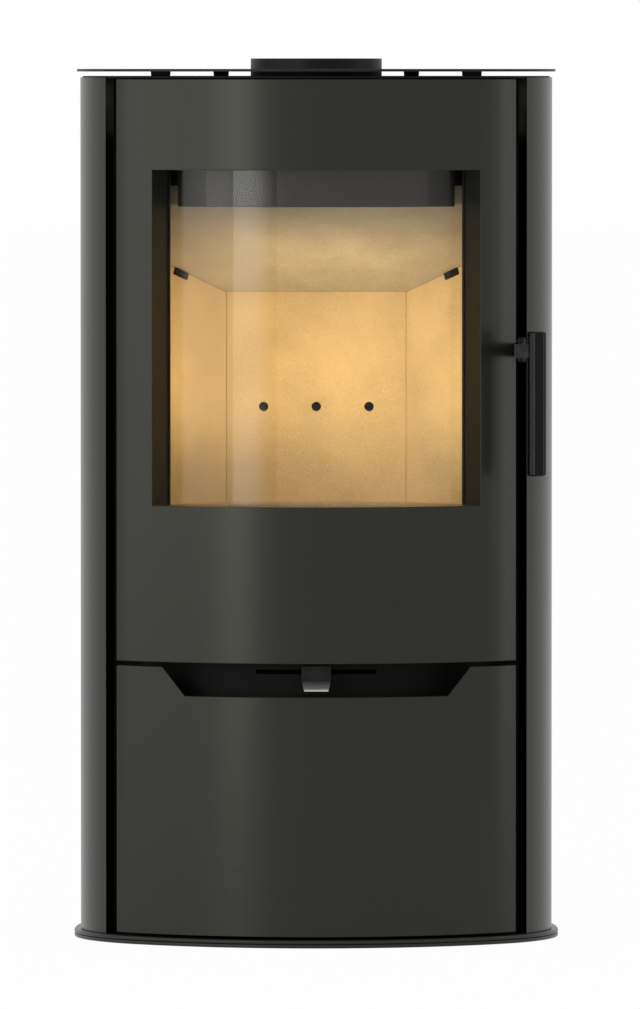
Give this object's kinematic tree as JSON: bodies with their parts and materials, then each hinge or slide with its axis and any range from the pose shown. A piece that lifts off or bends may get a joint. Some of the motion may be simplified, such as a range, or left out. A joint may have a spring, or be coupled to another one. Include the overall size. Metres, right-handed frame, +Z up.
{
  "type": "wood stove",
  "caption": "Tall oval steel wood stove with a bowed glass door, a bar handle, an air lever in a finger recess and a drawer below.",
  "frame": {"origin": "on the floor, under the axis of the flue collar", "axes": "+Z up along the flue axis, -Y towards the front of the door, +X towards the side with the handle"},
  "size_m": [0.553, 0.4575, 1.002],
  "materials": {
    "casing_paint": "satin",
    "top_paint": "satin",
    "plinth_paint": "satin",
    "rear_paint": "matte",
    "collar_paint": "matte",
    "black_steel": "matte",
    "firebox_steel": "matte",
    "air_steel": "matte",
    "shield_steel": "satin",
    "sooted_steel": "matte",
    "zinc_steel": "satin",
    "bright_steel": "satin",
    "handle_paint": "satin",
    "arm_paint": "satin",
    "pan_steel": "satin",
    "cast_iron": "matte",
    "lining_board": "matte",
    "hearth_brick": "matte",
    "baffle_board": "matte",
    "stove_glass": "gloss",
    "rope_fibre": "matte",
    "flat_seal": "matte"
  },
  "bodies": {
    "stove": {"base_plate": "plinth_paint", "plinth_plate": "plinth_paint", "side_panel_left": "casing_paint", "side_panel_right": "casing_paint", "rear_panel": "rear_paint", "rear_screws": "zinc_steel", "front_post_left": "black_steel", "front_post_right": "black_steel", "bay_sides": "black_steel", "apron": "black_steel", "drawer_shield": "shield_steel", "casing_top": "black_steel", "top_spacers": "black_steel", "top_plate": "top_paint", "flue_collar": "collar_paint", "firebox_shell": "firebox_steel", "firebox_front": "firebox_steel", "outlet_blank": "firebox_steel", "outlet_cover": "rear_paint", "rear_shield": "shield_steel", "air_duct": "air_steel", "air_box": "air_steel", "air_spigot": "rear_paint", "damper_rails": "air_steel", "floor_plate": "firebox_steel", "floor_bricks": "hearth_brick", "grate": "cast_iron", "ash_pan": "pan_steel", "liner_back": "lining_board", "liner_corners": "lining_board", "liner_sides": "lining_board", "baffle_lower": "baffle_board", "baffle_clips": "sooted_steel", "baffle_upper": "firebox_steel", "baffle_rails": "firebox_steel", "air_wash_plate": "sooted_steel", "air_wash_channel": "sooted_steel", "hinge_brackets": "black_steel", "hinge_pins": "zinc_steel", "latch_keeper": "black_steel", "runner_outer": "zinc_steel"},
    "door": {"door_skin": "casing_paint", "door_frame": "black_steel", "door_lugs": "black_steel", "glass_pane": "stove_glass", "glass_seal": "flat_seal", "glass_clips": "zinc_steel", "door_rope": "rope_fibre", "latch_pin": "black_steel"},
    "handle": {"handle_arm": "arm_paint", "handle_grip": "handle_paint"},
    "catch_roller": {"keeper_roller": "zinc_steel"},
    "drawer": {"drawer_front": "casing_paint", "drawer_box": "pan_steel", "drawer_screws": "zinc_steel", "runner_inner": "zinc_steel"},
    "middle_runners": {"runner_middle": "zinc_steel"},
    "air_control": {"damper_plate": "zinc_steel", "air_lever": "black_steel", "lever_tip": "bright_steel"}
  },
  "joints": [
    {"name": "door_hinge", "type": "hinge", "parent": "stove", "child": "door", "pos_m": [-0.219, -0.13949, 0.65], "axis": [0, 0, -1], "range_deg": [0, 95]},
    {"name": "handle_pivot", "type": "hinge", "parent": "door", "child": "handle", "pos_m": [0.2315, -0.14215, 0.6714], "axis": [0, 0, -1], "range_deg": [0, 15]},
    {"name": "roller_spin", "type": "hinge", "parent": "stove", "child": "catch_roller", "pos_m": [0.2182, -0.10815, 0.6714], "axis": [0, 0, 1], "continuous": true},
    {"name": "drawer_slide", "type": "slide", "parent": "stove", "child": "drawer", "axis": [0, -1, 0], "range_m": [0, 0.25]},
    {"name": "runner_slide", "type": "slide", "parent": "stove", "child": "middle_runners", "axis": [0, -1, 0], "range_m": [0, 0.125]},
    {"name": "air_slide", "type": "slide", "parent": "stove", "child": "air_control", "axis": [1, 0, 0], "range_m": [-0.055, 0.055]}
  ],
  "couplings": [
    {"joint": "runner_slide", "follows": "drawer_slide", "ratio": 0.5}
  ]
}
